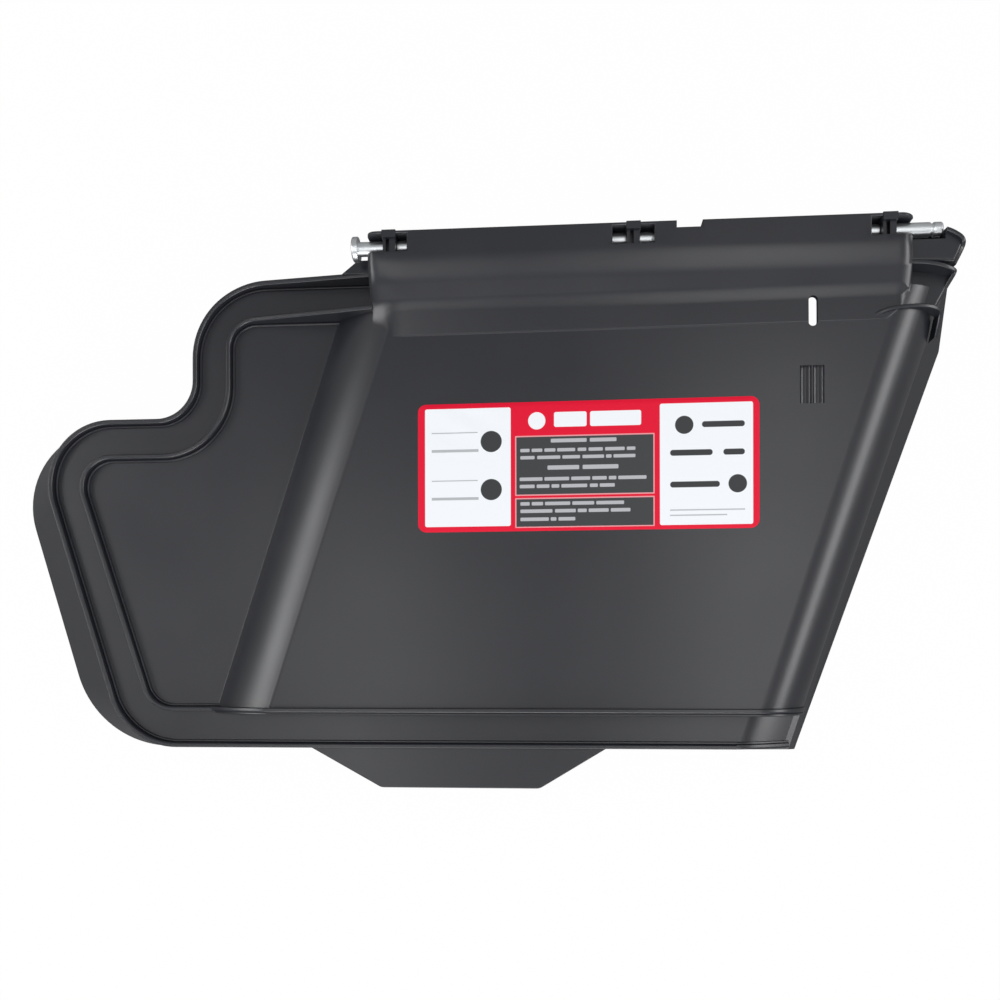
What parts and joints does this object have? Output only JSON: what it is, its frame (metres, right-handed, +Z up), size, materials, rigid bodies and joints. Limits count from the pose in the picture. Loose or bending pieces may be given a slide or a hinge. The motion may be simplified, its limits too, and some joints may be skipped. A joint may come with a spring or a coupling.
{
  "type": "mower discharge chute",
  "caption": "Black moulded side-discharge chute with raised hood, ribbed wing, hinge barrel on a steel rod, pull tab and a printed label.",
  "frame": {"origin": "under the middle of the whole part, on the surface that its rim rests on", "axes": "+X along the hinge rod towards its plain end, +Y from the outlet edge towards the hinge, +Z up through the outer face"},
  "size_m": [0.591, 0.3252, 0.0728],
  "materials": {
    "body_plastic": "fine moulded grain, satin ribs",
    "rod_zinc": "zinc plated",
    "label_vinyl": "printed vinyl, satin"
  },
  "bodies": {
    "chute": {"chute_body": "body_plastic", "decal": "label_vinyl"},
    "rod": {"hinge_rod": "rod_zinc"}
  },
  "joints": [
    {"name": "rod_turn", "type": "hinge", "parent": "chute", "child": "rod", "pos_m": [0, 0.15563, 0.062], "axis": [1, 0, 0], "continuous": true}
  ]
}
